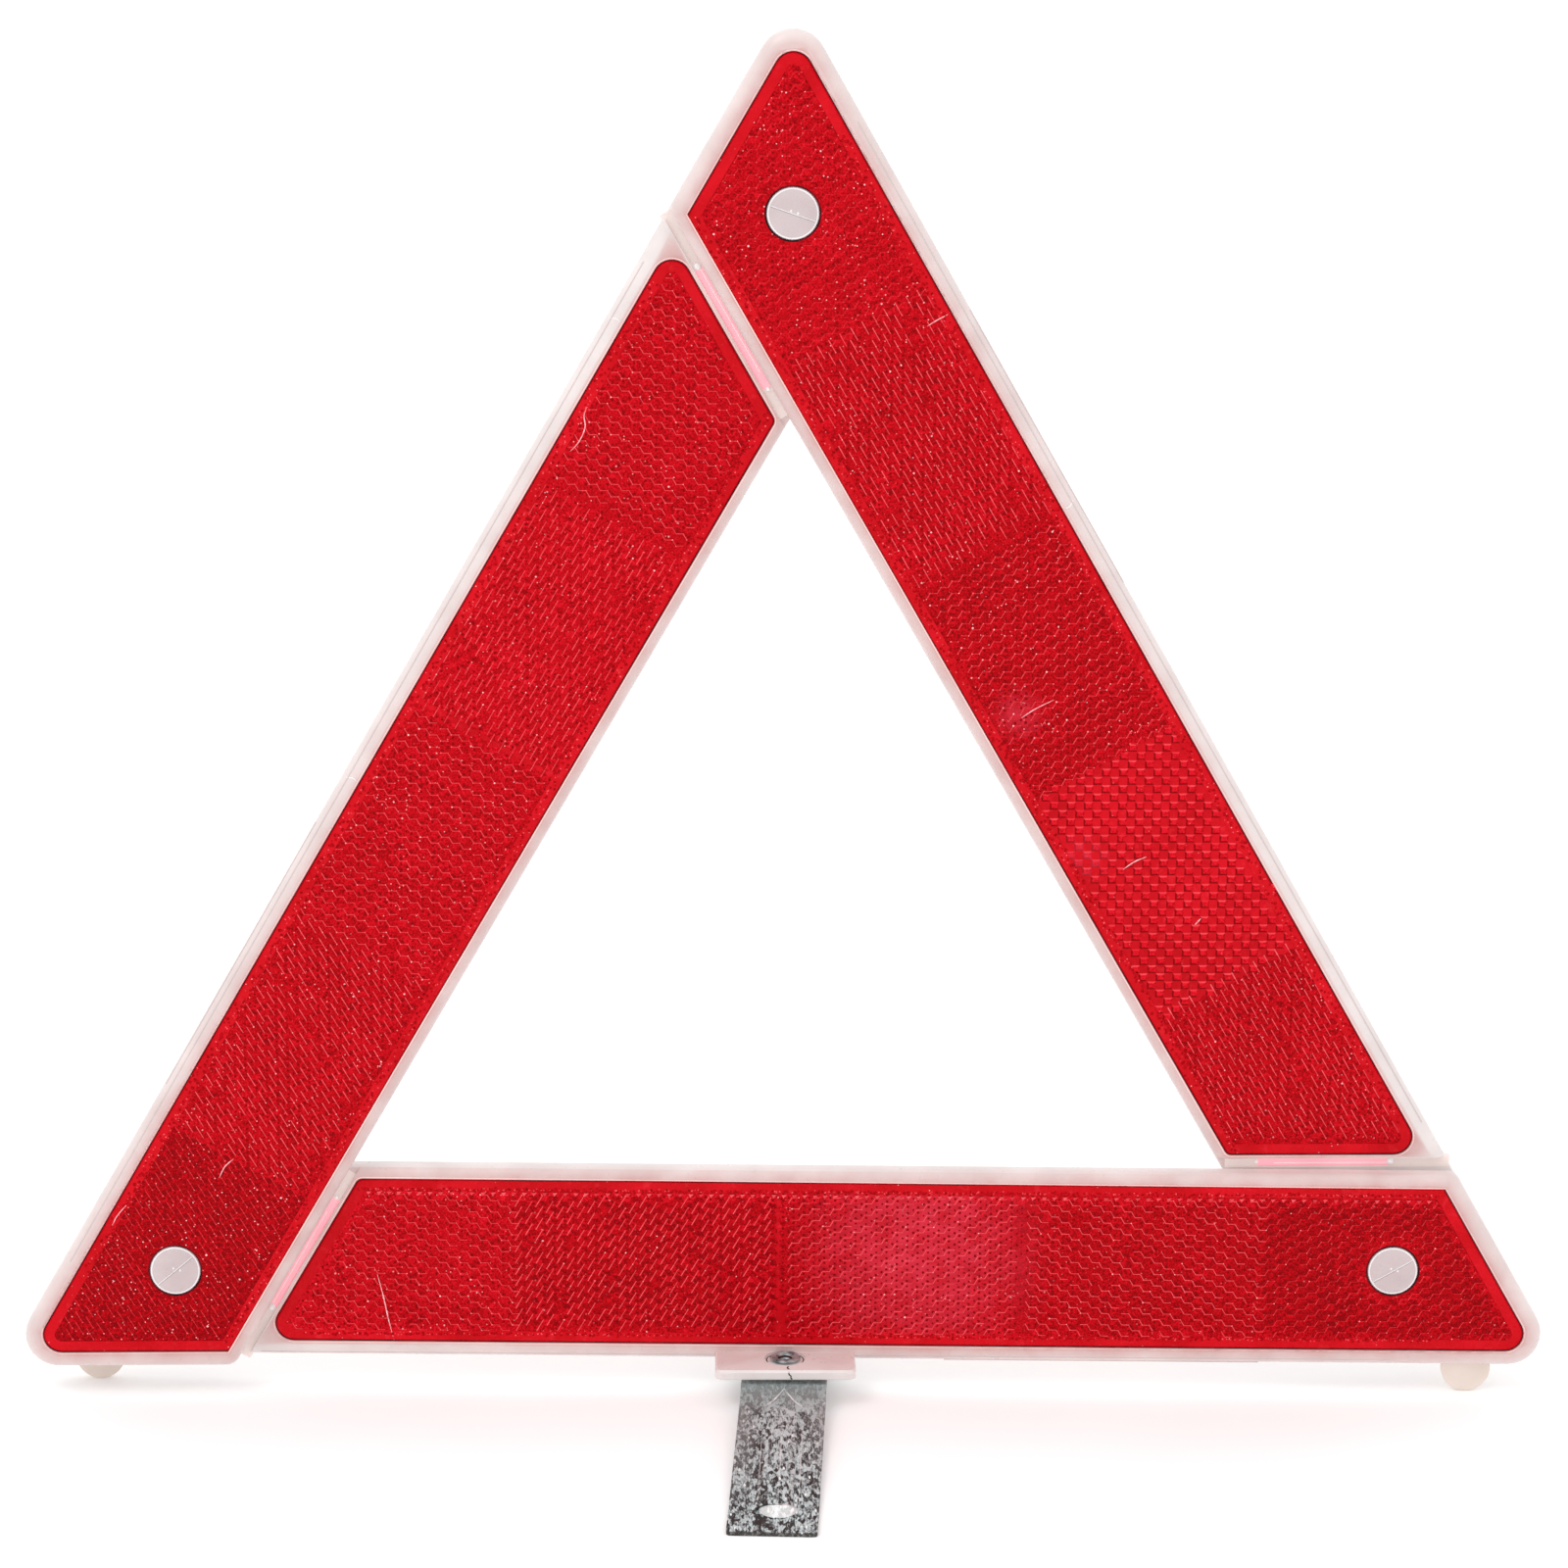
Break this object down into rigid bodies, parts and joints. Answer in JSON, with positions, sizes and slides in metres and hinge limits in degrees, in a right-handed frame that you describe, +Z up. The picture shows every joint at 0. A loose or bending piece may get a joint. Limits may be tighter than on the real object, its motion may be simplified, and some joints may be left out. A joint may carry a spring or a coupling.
{
  "type": "warning triangle",
  "caption": "Folding red reflector triangle of three overlapping flat arms in white housings, pinned at the corners, on a swivelling steel strip foot.",
  "frame": {"origin": "on the ground, on the axis of the leg's rivet, at the middle of the object's footprint", "axes": "+X to the right across the triangle's face, +Y away from the viewer of the reflectors, +Z up"},
  "size_m": [0.4178, 0.1908, 0.3725],
  "materials": {
    "housing_white": "translucent off-white moulded plastic, satin, with a faint pink cast beside the red",
    "reflector_red": "clear red acrylic with a micro-prism back, glossy, lightly scratched",
    "pin_white": "pale grey-pink moulded plastic, satin",
    "foot_cream": "cream moulded plastic, matte",
    "leg_zinc": "zinc-coated steel strip, dull, spangled, with sheared edges",
    "rivet_steel": "plated steel, bright",
    "retainer_steel": "plated steel, pressed on"
  },
  "bodies": {
    "base_arm": {"base_arm_housing": "housing_white", "base_arm_reflector": "reflector_red", "lower_right_pivot_pin": "pin_white", "lower_right_spacer": "pin_white", "lower_right_retainer": "retainer_steel", "left_foot": "foot_cream", "right_foot": "foot_cream", "leg_rivet": "rivet_steel", "leg_washer": "leg_zinc"},
    "right_arm": {"right_arm_housing": "housing_white", "right_arm_reflector": "reflector_red", "top_pivot_pin": "pin_white", "top_spacer": "pin_white", "top_retainer": "retainer_steel"},
    "left_arm": {"left_arm_housing": "housing_white", "left_arm_reflector": "reflector_red", "lower_left_latch_pin": "pin_white", "lower_left_spacer": "pin_white", "lower_left_retainer": "retainer_steel"},
    "leg": {"stand_leg": "leg_zinc"}
  },
  "joints": [
    {"name": "right_arm_fold", "type": "hinge", "parent": "base_arm", "child": "right_arm", "pos_m": [0.16693, 0.01295, 0.03643], "axis": [-0.0254, -0.9987, -0.044], "range_deg": [0, 60]},
    {"name": "left_arm_swing", "type": "hinge", "parent": "right_arm", "child": "left_arm", "pos_m": [-0.00007, 0.01295, 0.32543], "axis": [-0.0598, 0.9982, 0], "range_deg": [0, 300]},
    {"name": "leg_swivel", "type": "hinge", "parent": "base_arm", "child": "leg", "pos_m": [0, 0, 0.007], "axis": [0, 0, -1], "range_deg": [-93, 87]}
  ],
  "couplings": [
    {"joint": "left_arm_swing", "follows": "right_arm_fold", "ratio": 5}
  ]
}
